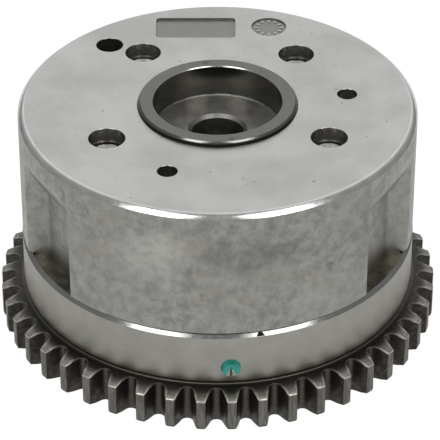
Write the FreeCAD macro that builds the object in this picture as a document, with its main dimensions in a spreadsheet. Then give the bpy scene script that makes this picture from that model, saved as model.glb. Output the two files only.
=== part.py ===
import FreeCAD, Part
import math
import os
import re
import Sketcher

# Hydraulic cam phaser. A chain sprocket and a lobed housing are bolted together and turn with
# the chain. A vaned rotor on the camshaft turns a few degrees inside them.
# Millimetres. The turning axis is Z, the sprocket's rear face is z = 0 and the front faces +Z.
# Angles are in degrees from +X. The rotor stands in the middle of its travel.

DRIVING_SIZES = (
    # Chain wheel
    ("tooth_count", 46),
    ("chain_pitch", 6.35),
    ("tip_addendum", 0.07),
    ("tooth_depth", 3.6),
    ("tooth_flank_angle", 22),
    ("tooth_root_round", 1.22),
    ("tooth_clocking", -0.3),
    ("tooth_width", 8.2),
    ("tooth_front_bevel", 0.95),
    ("tooth_rear_bevel", 0.4),
    ("tooth_rear_reach", 0.8),
    # Sprocket flange
    ("ledge_radius", 42.15),
    ("ledge_top", 8.7),
    ("undercut_width", 0.12),
    ("undercut_depth", 0.6),
    ("band_radius", 41.6),
    ("band_chamfer", 0.4),
    ("flange_face", 19.95),
    ("journal_radius", 16),
    ("journal_chamfer", 0.6),
    ("relief_inner_radius", 31.5),
    ("relief_outer_radius", 38.5),
    ("relief_depth", 5),
    # Paint mark's drill point on the band
    ("mark_angle", -86.6),
    ("mark_height", 12.65),
    ("mark_radius", 2.05),
    ("mark_depth", 1.1),
    # Housing
    ("housing_radius", 41.5),
    ("front_face", 49.35),
    ("face_chamfer", 0.64),
    ("front_wall", 4.5),
    ("chamber_radius", 36.8),
    ("lobe_tip_radius", 19.1),
    ("lobe_half_angle", 14.5),
    ("lobe_angle_one", -149.6),
    ("lobe_angle_two", -29.6),
    ("lobe_angle_three", 50.1),
    ("lobe_angle_four", 127.5),
    # Outer pockets of the casting, one behind each lobe
    ("pocket_floor_distance", 37.15),
    ("pocket_floor_half_width", 6.4),
    ("pocket_side_slope", 0.9),
    ("pocket_slope_bottom", 36.35),
    ("pocket_slope_top", 43.95),
    # Screws
    ("bolt_circle_radius", 26.15),
    ("counterbore_radius", 3.75),
    ("counterbore_depth", 7.4),
    ("screw_radius", 2),
    ("screw_hole_clearance", 0.25),
    ("screw_head_radius", 3.5),
    ("screw_head_height", 4),
    ("screw_length", 32),
    ("screw_tapped_depth", 12),
    ("screw_edge", 0.35),
    ("socket_across_flats", 3),
    ("socket_depth", 2),
    # Locating dowel
    ("dowel_angle", 134.1),
    ("dowel_circle_radius", 33.3),
    ("dowel_radius", 2.5),
    ("dowel_edge", 0.4),
    ("dowel_hole_radius", 2.85),
    ("dowel_below_flange", 8),
    ("dowel_above_flange", 8),
    # Small holes and recesses of the front face
    ("vent_angle", -111.6),
    ("vent_radius", 2.05),
    ("tool_hole_angle", 8.15),
    ("tool_hole_depth", 3),
    ("plate_centre_across", -4.75),
    ("plate_centre_along", 31.2),
    ("plate_width", 17.2),
    ("plate_height", 8.4),
    ("plate_round", 0.9),
    ("plate_depth", 0.5),
    ("dial_centre_across", 11.1),
    ("dial_centre_along", 31.6),
    ("dial_radius", 3.8),
    ("dial_depth", 0.35),
    # Rotor
    ("running_clearance", 0.05),
    ("fit_gap", 0.02),
    ("hub_radius", 19),
    ("vane_tip_clearance", 0.1),
    ("vane_half_angle", 8),
    ("phase_half_travel", 12.5),
    ("stop_angle", 0.2),
    ("bolt_hole_radius", 5.5),
    ("bolt_hole_chamfer", 0.7),
    ("bolt_seat_level", 43.15),
    ("cam_nose_radius", 15),
    ("cam_nose_depth", 6),
    ("oil_hole_radius", 1.25),
    ("oil_hole_margin", 5),
    ("rear_oil_level", 23.05),
    ("front_oil_level", 33.35),
    ("front_oil_stagger", 2),
    ("cam_dowel_hole_radius", 2),
    ("cam_dowel_circle", 10),
    ("cam_dowel_angle", 60),
    ("cam_dowel_hole_depth", 4.5),
    # Sleeve
    ("sleeve_radius", 16.6),
    ("sleeve_bore_radius", 13.38),
    ("sleeve_stand", 1.03),
    ("sleeve_seat_depth", 1.5),
    ("sleeve_edge", 0.4),
    # Seals and their leaf springs
    ("seal_slot_half_width", 0.8),
    ("seal_side_gap", 0.05),
    ("seal_tip_gap", 0.05),
    ("seal_edge", 0.2),
    ("vane_seal_depth", 2.4),
    ("lobe_seal_depth", 1.85),
    ("seal_spring_space", 0.7),
    ("leaf_thickness", 0.2),
    ("leaf_half_width", 0.65),
    ("leaf_half_length", 10),
    ("leaf_foot", 2.5),
    ("leaf_crown_half_length", 2),
    # Lock pin, in the wide vane
    ("lock_circle_radius", 27.3),
    ("lock_pin_radius", 4),
    ("lock_pin_length", 13),
    ("lock_pin_edge", 0.5),
    ("lock_pin_pocket_radius", 2.75),
    ("lock_pin_pocket_depth", 9),
    ("lock_pin_stroke", 1),
    ("lock_seat_wall", 1.3),
    ("lock_seat_depth", 4.5),
    ("lock_seat_play", 0.2),
    ("retainer_cap", 2),
    ("retainer_set_back", 0.1),
    ("retainer_vent_radius", 1),
    ("lock_spring_wire", 0.35),
    ("lock_spring_radius", 2.2),
    ("lock_spring_turns", 6),
)

# Sizes that follow from the driving ones
DERIVED_SIZES = {
    "tip_radius": "chain_pitch / (2 * sin(180deg / tooth_count)) + tip_addendum",
    "root_radius": "tip_radius - tooth_depth",
    "chamber_top": "front_face - front_wall",
    "rotor_rear": "flange_face + running_clearance",
    "rotor_front": "chamber_top - running_clearance",
    "vane_tip_radius": "chamber_radius - vane_tip_clearance",
    "wide_vane_angle": "(lobe_angle_one + lobe_angle_two) / 2",
    "wide_vane_half_angle":
        "(lobe_angle_two - lobe_angle_one) / 2 - lobe_half_angle - phase_half_travel - stop_angle",
    "vane_angle_two": "(lobe_angle_two + lobe_angle_three) / 2",
    "vane_angle_three": "(lobe_angle_three + lobe_angle_four) / 2",
    "vane_angle_four": "(lobe_angle_four + lobe_angle_one + 360) / 2",
    "vane_slot_floor": "chamber_radius - seal_tip_gap - vane_seal_depth - seal_spring_space",
    "lobe_slot_end": "hub_radius + seal_tip_gap + lobe_seal_depth + seal_spring_space",
    "nose_floor": "rotor_rear + cam_nose_depth",
    "sleeve_seat": "bolt_seat_level - sleeve_seat_depth",
    "sleeve_top": "front_face + sleeve_stand",
    "screw_seat": "front_face - counterbore_depth",
    "lock_angle": "vent_angle + phase_half_travel",
    "lock_bore_radius": "lock_pin_radius + running_clearance",
    "lock_pin_top": "rotor_rear + lock_pin_length",
    "lock_pocket_floor": "lock_pin_top - lock_pin_pocket_depth",
    "retainer_top": "rotor_front - retainer_set_back",
    "retainer_stop": "lock_pin_top + lock_pin_stroke + running_clearance",
    "socket_corner_radius": "socket_across_flats / (2 * cos(30deg))",
}

LOBES = ("lobe_angle_one", "lobe_angle_two", "lobe_angle_three", "lobe_angle_four")
VANES = (
    ("wide_vane_angle", "wide_vane_half_angle"),
    ("vane_angle_two", "vane_half_angle"),
    ("vane_angle_three", "vane_half_angle"),
    ("vane_angle_four", "vane_half_angle"),
)
OVERSHOOT = "2"

doc = FreeCAD.newDocument("cam_phaser")
sheet = doc.addObject("Spreadsheet::Sheet", "Sizes")
aliases = [alias for alias, size in DRIVING_SIZES]


def fill_sheet():
    """Write every driving size beside its name."""
    for row, (alias, size) in enumerate(DRIVING_SIZES, start=1):
        sheet.set("A%d" % row, alias)
        sheet.set("B%d" % row, str(size))
        sheet.setAlias("B%d" % row, alias)
    doc.recompute()


def formula(text):
    """Spell a size rule out in cells of the sheet."""
    def spell(match):
        word = match.group(0)
        if word in aliases:
            return "Sizes." + word
        if word in DERIVED_SIZES:
            return "(" + formula(DERIVED_SIZES[word]) + ")"
        return word
    return re.sub(r"(?<![\w.])[a-z_]+", spell, text)


def number(text):
    return float(sheet.evalExpression(formula(text)))


def new_body(label):
    body = doc.addObject("PartDesign::Body", label)
    body.Label = label
    return body


def datum(body, role):
    return next(item for item in body.Origin.OriginFeatures if item.Role == role)


def new_sketch(body, name, level="0", turn="0", plane="XY_Plane"):
    """A flat sketch at a level; turn swings its own axes round the turning axis."""
    sketch = body.newObject("Sketcher::SketchObject", name)
    sketch.AttachmentSupport = (datum(body, plane), [""])
    sketch.MapMode = "FlatFace"
    axis = FreeCAD.Vector(0, 0, 1)
    if plane == "XZ_Plane":
        axis = FreeCAD.Vector(0, 1, 0)
    sketch.AttachmentOffset = FreeCAD.Placement(FreeCAD.Vector(), FreeCAD.Rotation(axis, 1))
    sketch.setExpression(".AttachmentOffset.Base.z", formula(level))
    sketch.setExpression(".AttachmentOffset.Rotation.Angle", formula(turn))
    return sketch


def pin_point(sketch, edge, end, across, along):
    """Hold one end of an edge at a place given by two size rules."""
    for kind, rule in (("DistanceX", across), ("DistanceY", along)):
        hold = Sketcher.Constraint(kind, -1, 1, edge, end, number(rule))
        index = sketch.addConstraint(hold)
        sketch.setExpression("Constraints[%d]" % index, formula(rule))


def outline(sketch, corners):
    """A closed outline of straight sides through the given corners."""
    first = sketch.GeometryCount
    points = [FreeCAD.Vector(number(across), number(along), 0) for across, along in corners]
    count = len(points)
    for index in range(count):
        sketch.addGeometry(Part.LineSegment(points[index], points[(index + 1) % count]))
    for index in range(count):
        following = first + (index + 1) % count
        sketch.addConstraint(Sketcher.Constraint("Coincident", first + index, 2, following, 1))
    for index, (across, along) in enumerate(corners):
        pin_point(sketch, first + index, 1, across, along)


def circle(sketch, across, along, radius):
    centre = FreeCAD.Vector(number(across), number(along), 0)
    up = FreeCAD.Vector(0, 0, 1)
    edge = sketch.addGeometry(Part.Circle(centre, up, number(radius)))
    pin_point(sketch, edge, 3, across, along)
    index = sketch.addConstraint(Sketcher.Constraint("Radius", edge, number(radius)))
    sketch.setExpression("Constraints[%d]" % index, formula(radius))


def polar_circle(sketch, distance, angle, radius):
    """A circle at a distance from the axis in the direction of an angle."""
    circle(sketch, "%s * cos(%s * 1deg)" % (distance, angle),
           "%s * sin(%s * 1deg)" % (distance, angle), radius)


def turned(body, name, corners, kind="PartDesign::Revolution"):
    """Turn an outline of (radius, height) corners about the axis."""
    sketch = new_sketch(body, name + "_outline", plane="XZ_Plane")
    outline(sketch, corners)
    feature = body.newObject(kind, name)
    feature.Profile = sketch
    feature.ReferenceAxis = (sketch, ["V_Axis"])
    feature.Angle = 360
    return feature


def pad(body, sketch, height, both_ways=False):
    feature = body.newObject("PartDesign::Pad", sketch.Name + "_pad")
    feature.Profile = sketch
    feature.setExpression("Length", formula(height))
    feature.Midplane = both_ways
    return feature


def pocket(body, sketch, depth, upwards=False):
    """Cut below the sketch's plane, or above it."""
    feature = body.newObject("PartDesign::Pocket", sketch.Name + "_pocket")
    feature.Profile = sketch
    feature.setExpression("Length", formula(depth))
    feature.Reversed = upwards
    return feature


def stand_at(body, distance, angle, level="0"):
    """Move a finished piece to its polar place and height."""
    body.setExpression(".Placement.Base.x", formula("%s * cos(%s * 1deg)" % (distance, angle)))
    body.setExpression(".Placement.Base.y", formula("%s * sin(%s * 1deg)" % (distance, angle)))
    body.setExpression(".Placement.Base.z", formula(level))


def strip(near, far, half_width):
    """Corners of a straight strip along the sketch's first axis."""
    return ((near, "-(%s)" % half_width), (far, "-(%s)" % half_width),
            (far, half_width), (near, half_width))


def wedge(near, far, half_angle):
    """Corners of a wedge with radial sides, along the sketch's first axis."""
    low = "(%s) * tan(%s * 1deg)" % (near, half_angle)
    high = "(%s) * tan(%s * 1deg)" % (far, half_angle)
    return ((near, "-" + low), (far, "-" + high), (far, high), (near, low))


def make_tooth_gaps(body):
    """Cut one gap with straight flanks and a round root, and repeat it round the rim."""
    sketch = new_sketch(body, "tooth_gap", level="tooth_width + " + OVERSHOOT,
                        turn="tooth_clocking - 90")
    centre = "root_radius + tooth_root_round"
    tangent_across = "%s - tooth_root_round * sin(tooth_flank_angle * 1deg)" % centre
    tangent_half = "tooth_root_round * cos(tooth_flank_angle * 1deg)"
    far = "tip_radius + " + OVERSHOOT
    far_half = "(%s) + (%s - (%s)) * tan(tooth_flank_angle * 1deg)" % (
        tangent_half, far, tangent_across)
    left, right, far_left, far_right = [
        FreeCAD.Vector(number(across), number(along), 0) for across, along in (
            (tangent_across, "-(%s)" % tangent_half), (tangent_across, tangent_half),
            (far, "-(%s)" % far_half), (far, far_half))]
    whole_round = Part.Circle(FreeCAD.Vector(number(centre), 0, 0), FreeCAD.Vector(0, 0, 1),
                              number("tooth_root_round"))
    start = math.radians(90 + number("tooth_flank_angle"))
    end = math.radians(270 - number("tooth_flank_angle"))
    left_flank = sketch.addGeometry(Part.LineSegment(far_left, left))
    round_root = sketch.addGeometry(Part.ArcOfCircle(whole_round, start, end))
    right_flank = sketch.addGeometry(Part.LineSegment(right, far_right))
    mouth = sketch.addGeometry(Part.LineSegment(far_right, far_left))
    joins = (
        ("Tangent", left_flank, 2, round_root, 2),
        ("Tangent", round_root, 1, right_flank, 1),
        ("Coincident", right_flank, 2, mouth, 1),
        ("Coincident", mouth, 2, left_flank, 1),
    )
    for kind, edge, end, other, other_end in joins:
        sketch.addConstraint(Sketcher.Constraint(kind, edge, end, other, other_end))
    pin_point(sketch, round_root, 3, centre, "0")
    pin_point(sketch, left_flank, 1, far, "-(%s)" % far_half)
    pin_point(sketch, right_flank, 2, far, far_half)
    index = sketch.addConstraint(
        Sketcher.Constraint("Radius", round_root, number("tooth_root_round")))
    sketch.setExpression("Constraints[%d]" % index, formula("tooth_root_round"))
    gap = pocket(body, sketch, "tooth_width + 2 * " + OVERSHOOT)
    gaps = body.newObject("PartDesign::PolarPattern", "tooth_gaps")
    gaps.Originals = [gap]
    gaps.Axis = (datum(body, "Z_Axis"), [""])
    gaps.Angle = 360
    gaps.setExpression("Occurrences", formula("tooth_count"))
    body.Tip = gaps


def make_band_mark(body):
    """The conical drill point on the band that marks the timing position."""
    mark = body.newObject("PartDesign::SubtractiveCone", "band_mark")
    mark.AttachmentSupport = (datum(body, "XY_Plane"), [""])
    mark.MapMode = "FlatFace"
    mark.Radius1 = 0
    mark.setExpression("Radius2", formula("mark_radius * (mark_depth + 1) / mark_depth"))
    mark.setExpression("Height", formula("mark_depth + 1"))
    outward = FreeCAD.Rotation(FreeCAD.Vector(0, 0, 1), number("mark_angle"))
    level = FreeCAD.Rotation(FreeCAD.Vector(0, 1, 0), 90)
    mark.AttachmentOffset = FreeCAD.Placement(FreeCAD.Vector(), outward.multiply(level))
    depth = "(band_radius - mark_depth)"
    mark.setExpression(".AttachmentOffset.Base.x", formula(depth + " * cos(mark_angle * 1deg)"))
    mark.setExpression(".AttachmentOffset.Base.y", formula(depth + " * sin(mark_angle * 1deg)"))
    mark.setExpression(".AttachmentOffset.Base.z", formula("mark_height"))


def make_sprocket():
    """Chain wheel, flange band and journal bore, turned from one blank."""
    body = new_body("sprocket")
    tooth_tip_top = "tooth_width - tooth_front_bevel"
    undercut_radius = "band_radius - undercut_depth"
    turned(body, "blank", (
        ("journal_radius + journal_chamfer", "0"),
        ("relief_inner_radius", "0"),
        ("relief_inner_radius", "relief_depth"),
        ("relief_outer_radius", "relief_depth"),
        ("relief_outer_radius", "0"),
        ("tip_radius - tooth_rear_bevel", "0"),
        ("tip_radius", "tooth_rear_reach"),
        ("tip_radius", tooth_tip_top),
        ("root_radius", "tooth_width"),
        ("ledge_radius", "tooth_width"),
        ("ledge_radius", "ledge_top"),
        (undercut_radius, "ledge_top"),
        (undercut_radius, "ledge_top + undercut_width"),
        ("band_radius", "ledge_top + undercut_width"),
        ("band_radius", "flange_face - band_chamfer"),
        ("band_radius - band_chamfer", "flange_face"),
        ("journal_radius", "flange_face"),
        ("journal_radius", "journal_chamfer"),
    ))
    make_tooth_gaps(body)
    tapped = new_sketch(body, "tapped_holes", level="flange_face")
    for angle in LOBES:
        polar_circle(tapped, "bolt_circle_radius", angle, "screw_radius + fit_gap")
    pocket(body, tapped, "screw_tapped_depth")
    dowel = new_sketch(body, "dowel_hole", level="flange_face")
    polar_circle(dowel, "dowel_circle_radius", "dowel_angle", "dowel_radius + fit_gap")
    pocket(body, dowel, "dowel_below_flange + fit_gap")
    seat = new_sketch(body, "lock_seat_hole", level="flange_face")
    polar_circle(seat, "lock_circle_radius", "vent_angle",
                 "lock_pin_radius + lock_seat_play + lock_seat_wall + fit_gap")
    pocket(body, seat, "lock_seat_depth + fit_gap")
    make_band_mark(body)


def make_outer_pocket(body, name, angle):
    """A cast pocket with slanted sides, open below and running out on a slope above."""
    far = "housing_radius + " + OVERSHOOT
    run = "((%s - pocket_floor_distance) * pocket_side_slope)"
    far_half = "pocket_floor_half_width + " + run % ("(" + far + ")")
    rim_half = "pocket_floor_half_width + " + run % "housing_radius"
    section = (
        ("pocket_floor_distance", "-pocket_floor_half_width"),
        (far, "-(%s)" % far_half),
        (far, far_half),
        ("pocket_floor_distance", "pocket_floor_half_width"),
    )
    run_out = (
        ("housing_radius", "-(%s)" % rim_half),
        (far, "-(%s)" % far_half),
        (far, far_half),
        ("housing_radius", rim_half),
    )
    plan = new_sketch(body, name + "_plan", level="pocket_slope_bottom", turn=angle)
    outline(plan, section)
    pocket(body, plan, "pocket_slope_bottom - flange_face + " + OVERSHOOT)
    start = new_sketch(body, name + "_start", level="pocket_slope_bottom", turn=angle)
    outline(start, section)
    top = new_sketch(body, name + "_top", level="pocket_slope_top", turn=angle)
    outline(top, run_out)
    slope = body.newObject("PartDesign::SubtractiveLoft", name + "_slope")
    slope.Profile = start
    slope.Sections = [top]
    slope.Ruled = True


def make_face_recesses(body):
    """The marking recesses and small holes of the front face."""
    plate = new_sketch(body, "plate_recess", level="front_face")
    left = "plate_centre_across - plate_width / 2"
    right = "plate_centre_across + plate_width / 2"
    low = "plate_centre_along - plate_height / 2"
    high = "plate_centre_along + plate_height / 2"
    cut = "plate_round"
    outline(plate, (
        (left + " + " + cut, low), (right + " - " + cut, low),
        (right, low + " + " + cut), (right, high + " - " + cut),
        (right + " - " + cut, high), (left + " + " + cut, high),
        (left, high + " - " + cut), (left, low + " + " + cut),
    ))
    pocket(body, plate, "plate_depth")
    dial = new_sketch(body, "dial_recess", level="front_face")
    circle(dial, "dial_centre_across", "dial_centre_along", "dial_radius")
    pocket(body, dial, "dial_depth")
    vent = new_sketch(body, "lock_vent", level="front_face")
    polar_circle(vent, "lock_circle_radius", "vent_angle", "vent_radius")
    pocket(body, vent, "front_wall + 1")
    tool_hole = new_sketch(body, "tool_hole", level="front_face")
    polar_circle(tool_hole, "lock_circle_radius", "tool_hole_angle", "vent_radius")
    pocket(body, tool_hole, "tool_hole_depth")


def make_housing():
    """Cast pot with four inward lobes between the oil chambers."""
    body = new_body("stator_housing")
    front_hole = "sleeve_radius + running_clearance"
    turned(body, "pot", (
        (front_hole, "front_face"),
        ("housing_radius - face_chamfer", "front_face"),
        ("housing_radius", "front_face - face_chamfer"),
        ("housing_radius", "flange_face"),
        ("chamber_radius", "flange_face"),
        ("chamber_radius", "chamber_top"),
        (front_hole, "chamber_top"),
    ))
    lobe_outer = "(chamber_radius / cos(lobe_half_angle * 1deg) + 0.2)"
    for index, angle in enumerate(LOBES, start=1):
        lobe = new_sketch(body, "lobe_%d" % index, level="flange_face", turn=angle)
        outline(lobe, wedge("lobe_tip_radius - 1", lobe_outer, "lobe_half_angle"))
        pad(body, lobe, "chamber_top - flange_face")
    tips = new_sketch(body, "lobe_tips", level="chamber_top")
    circle(tips, "0", "0", "lobe_tip_radius")
    pocket(body, tips, "chamber_top - flange_face + 1")
    for index, angle in enumerate(LOBES, start=1):
        slot = new_sketch(body, "lobe_seal_slot_%d" % index, level="chamber_top", turn=angle)
        outline(slot, strip("lobe_tip_radius - 1", "lobe_slot_end", "seal_slot_half_width"))
        pocket(body, slot, "chamber_top - flange_face + 1")
    for index, angle in enumerate(LOBES, start=1):
        make_outer_pocket(body, "outer_pocket_%d" % index, angle)
    counterbores = new_sketch(body, "counterbores", level="front_face")
    holes = new_sketch(body, "screw_holes", level="front_face")
    for angle in LOBES:
        polar_circle(counterbores, "bolt_circle_radius", angle, "counterbore_radius")
        polar_circle(holes, "bolt_circle_radius", angle, "screw_radius + screw_hole_clearance")
    pocket(body, counterbores, "counterbore_depth")
    pocket(body, holes, "front_face - flange_face + 1")
    dowel_top = "flange_face + dowel_above_flange + dowel_edge"
    dowel = new_sketch(body, "dowel_hole_front", level="front_face")
    polar_circle(dowel, "dowel_circle_radius", "dowel_angle", "dowel_hole_radius")
    pocket(body, dowel, "front_face - (%s)" % dowel_top)
    seat = new_sketch(body, "dowel_hole_seat", level=dowel_top)
    polar_circle(seat, "dowel_circle_radius", "dowel_angle", "dowel_radius + fit_gap")
    pocket(body, seat, "(%s) - flange_face + 1" % dowel_top)
    make_face_recesses(body)


def make_oil_hole(body, name, angle, level):
    """A radial drilling from the axis through the hub at one height."""
    sketch = new_sketch(body, name, turn="(%s) - 90" % angle, plane="XZ_Plane")
    circle(sketch, "0", level, "oil_hole_radius")
    pocket(body, sketch, "hub_radius + 0.5")


def make_rotor():
    """Hub with four vanes: a wide one that carries the lock pin and three narrow ones."""
    body = new_body("rotor")
    turned(body, "hub", (
        ("bolt_hole_radius", "nose_floor"),
        ("bolt_hole_radius", "bolt_seat_level - bolt_hole_chamfer"),
        ("bolt_hole_radius + bolt_hole_chamfer", "bolt_seat_level"),
        ("sleeve_bore_radius - fit_gap", "bolt_seat_level"),
        ("sleeve_bore_radius - fit_gap", "sleeve_seat"),
        ("sleeve_radius + fit_gap", "sleeve_seat"),
        ("sleeve_radius + fit_gap", "rotor_front"),
        ("hub_radius", "rotor_front"),
        ("hub_radius", "rotor_rear"),
        ("cam_nose_radius", "rotor_rear"),
        ("cam_nose_radius", "nose_floor"),
    ))
    for index, (angle, half_angle) in enumerate(VANES, start=1):
        vane = new_sketch(body, "vane_%d" % index, level="rotor_rear", turn=angle)
        outer = "(vane_tip_radius / cos(%s * 1deg) + 0.3)" % half_angle
        outline(vane, wedge("hub_radius - 1", outer, half_angle))
        pad(body, vane, "rotor_front - rotor_rear")
    tips = new_sketch(body, "vane_tips", level="rotor_front + 1")
    circle(tips, "0", "0", "vane_tip_radius")
    circle(tips, "0", "0", "vane_tip_radius * 2")
    pocket(body, tips, "rotor_front - rotor_rear + 2")
    for index, (angle, half_angle) in enumerate(VANES, start=1):
        slot = new_sketch(body, "vane_seal_slot_%d" % index, level="rotor_front", turn=angle)
        far = "chamber_radius + 1"
        outline(slot, strip("vane_slot_floor", far, "seal_slot_half_width"))
        pocket(body, slot, "rotor_front - rotor_rear + 1")
    lock_bore = new_sketch(body, "lock_bore", level="rotor_front")
    polar_circle(lock_bore, "lock_circle_radius", "lock_angle", "lock_bore_radius")
    pocket(body, lock_bore, "rotor_front - rotor_rear + 1")
    cam_dowel = new_sketch(body, "cam_dowel_hole", level="nose_floor")
    polar_circle(cam_dowel, "cam_dowel_circle", "cam_dowel_angle", "cam_dowel_hole_radius")
    pocket(body, cam_dowel, "cam_dowel_hole_depth", upwards=True)
    for index, (angle, half_angle) in enumerate(VANES, start=1):
        swing = "(%s + oil_hole_margin)" % half_angle
        side = "+" if index % 2 else "-"
        make_oil_hole(body, "rear_oil_%d" % index, "%s - %s" % (angle, swing), "rear_oil_level")
        make_oil_hole(body, "front_oil_%d" % index, "%s + %s" % (angle, swing),
                      "front_oil_level %s front_oil_stagger" % side)


def make_sleeve():
    body = new_body("front_sleeve")
    turned(body, "ring", (
        ("sleeve_bore_radius", "sleeve_seat"),
        ("sleeve_radius", "sleeve_seat"),
        ("sleeve_radius", "sleeve_top - sleeve_edge"),
        ("sleeve_radius - sleeve_edge", "sleeve_top"),
        ("sleeve_bore_radius", "sleeve_top"),
    ))


def make_seal(label, angle, tip, back):
    """A straight seal strip; its tip wipes the opposite wall."""
    body = new_body(label)
    sketch = new_sketch(body, label + "_section", level="rotor_rear", turn=angle)
    half = "seal_slot_half_width - seal_side_gap"
    inward = "(%s > %s ? seal_edge : -seal_edge)" % (tip, back)
    bevelled = "%s - %s" % (tip, inward)
    outline(sketch, (
        (back, "-(%s)" % half),
        (bevelled, "-(%s)" % half),
        (tip, "-(%s - seal_edge)" % half),
        (tip, "%s - seal_edge" % half),
        (bevelled, half),
        (back, half),
    ))
    pad(body, sketch, "rotor_front - rotor_rear")


def make_leaf_spring(label, angle, feet, crown):
    """A bent strip: its feet press on the seal and its crown on the slot's floor."""
    body = new_body(label)
    sketch = new_sketch(body, label + "_side", turn=angle, plane="XZ_Plane")
    middle = "(rotor_front + rotor_rear) / 2"
    outward = "(%s > %s ? leaf_thickness : -leaf_thickness)" % (feet, crown)
    near = ("leaf_half_length", "(leaf_half_length - leaf_foot)", "leaf_crown_half_length")
    foot_face = (feet, feet, "%s + %s" % (crown, outward))
    back_face = ("%s - %s" % (feet, outward), "%s - %s" % (feet, outward), crown)
    upper = [(face, middle + " + " + reach) for face, reach in zip(foot_face, near)]
    lower = [(face, middle + " - " + reach) for face, reach in zip(foot_face, near)]
    upper_back = [(face, middle + " + " + reach) for face, reach in zip(back_face, near)]
    lower_back = [(face, middle + " - " + reach) for face, reach in zip(back_face, near)]
    outline(sketch, lower + upper[::-1] + upper_back + lower_back[::-1])
    pad(body, sketch, "2 * leaf_half_width", both_ways=True)


def make_seals():
    """One seal and leaf spring in the tip of each vane and each lobe."""
    gap = "fit_gap"
    for index, (angle, half_angle) in enumerate(VANES, start=1):
        tip = "(chamber_radius - seal_tip_gap)"
        back = "(chamber_radius - seal_tip_gap - vane_seal_depth)"
        make_seal("vane_seal_%d" % index, angle, tip, back)
        make_leaf_spring("vane_seal_spring_%d" % index, angle,
                         "(%s - %s)" % (back, gap), "(vane_slot_floor + %s)" % gap)
    for index, angle in enumerate(LOBES, start=1):
        tip = "(hub_radius + seal_tip_gap)"
        back = "(hub_radius + seal_tip_gap + lobe_seal_depth)"
        make_seal("lobe_seal_%d" % index, angle, tip, back)
        make_leaf_spring("lobe_seal_spring_%d" % index, angle,
                         "(%s + %s)" % (back, gap), "(lobe_slot_end - %s)" % gap)


def make_lock_pin():
    """A hollow pin; its spring sits in the pocket of its front end."""
    body = new_body("lock_pin")
    turned(body, "pin", (
        ("0", "rotor_rear"),
        ("lock_pin_radius - lock_pin_edge", "rotor_rear"),
        ("lock_pin_radius", "rotor_rear + lock_pin_edge"),
        ("lock_pin_radius", "lock_pin_top"),
        ("lock_pin_pocket_radius", "lock_pin_top"),
        ("lock_pin_pocket_radius", "lock_pocket_floor"),
        ("0", "lock_pocket_floor"),
    ))
    stand_at(body, "lock_circle_radius", "lock_angle")


def make_lock_retainer():
    """A pressed cup that holds the spring and stops the pin's stroke."""
    body = new_body("lock_spring_retainer")
    outer = "lock_bore_radius - fit_gap"
    cap_underside = "retainer_top - retainer_cap"
    turned(body, "cup", (
        ("retainer_vent_radius", cap_underside),
        ("lock_pin_pocket_radius", cap_underside),
        ("lock_pin_pocket_radius", "retainer_stop"),
        (outer, "retainer_stop"),
        (outer, "retainer_top"),
        ("retainer_vent_radius", "retainer_top"),
    ))
    stand_at(body, "lock_circle_radius", "lock_angle")


def make_lock_spring():
    """A round-wire coil spring between the pin's pocket and the retainer's cap."""
    body = new_body("lock_pin_spring")
    sketch = new_sketch(body, "wire", plane="XZ_Plane")
    start = "lock_pocket_floor + lock_spring_wire + fit_gap"
    height = "(retainer_top - retainer_cap - lock_spring_wire - fit_gap) - (%s)" % start
    circle(sketch, "lock_spring_radius", start, "lock_spring_wire")
    coil = body.newObject("PartDesign::AdditiveHelix", "coil")
    coil.Profile = sketch
    coil.ReferenceAxis = (sketch, ["V_Axis"])
    coil.Mode = "pitch-height-angle"
    coil.setExpression("Height", formula(height))
    coil.setExpression("Pitch", formula("(%s) / lock_spring_turns" % height))
    stand_at(body, "lock_circle_radius", "lock_angle")


def make_lock_seat():
    """The hardened bush in the sprocket that the pin drops into at the locked position."""
    body = new_body("lock_pin_seat")
    inner = "lock_pin_radius + lock_seat_play"
    turned(body, "bush", (
        (inner, "flange_face - lock_seat_depth"),
        (inner + " + lock_seat_wall", "flange_face - lock_seat_depth"),
        (inner + " + lock_seat_wall", "flange_face"),
        (inner + " + lock_pin_edge", "flange_face"),
        (inner, "flange_face - lock_pin_edge"),
    ))
    stand_at(body, "lock_circle_radius", "vent_angle")


def make_screw(label, angle):
    """A socket-head cap screw, its head's underside at its own zero height."""
    body = new_body(label)
    turned(body, "screw", (
        ("0", "-screw_length"),
        ("screw_radius - screw_edge", "-screw_length"),
        ("screw_radius", "screw_edge - screw_length"),
        ("screw_radius", "0"),
        ("screw_head_radius", "0"),
        ("screw_head_radius", "screw_head_height - screw_edge"),
        ("screw_head_radius - screw_edge", "screw_head_height"),
        ("0", "screw_head_height"),
    ))
    socket = new_sketch(body, "socket", level="screw_head_height")
    outline(socket, [("socket_corner_radius * cos(%ddeg)" % turn,
                      "socket_corner_radius * sin(%ddeg)" % turn) for turn in range(0, 360, 60)])
    pocket(body, socket, "socket_depth")
    stand_at(body, "bolt_circle_radius", angle, "screw_seat")


def make_dowel():
    """The straight pin that locates the housing on the sprocket."""
    body = new_body("housing_dowel")
    low = "flange_face - dowel_below_flange"
    high = "flange_face + dowel_above_flange"
    turned(body, "pin", (
        ("0", low),
        ("dowel_radius - dowel_edge", low),
        ("dowel_radius", low + " + dowel_edge"),
        ("dowel_radius", high + " - dowel_edge"),
        ("dowel_radius - dowel_edge", high),
        ("0", high),
    ))
    stand_at(body, "dowel_circle_radius", "dowel_angle")


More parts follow.
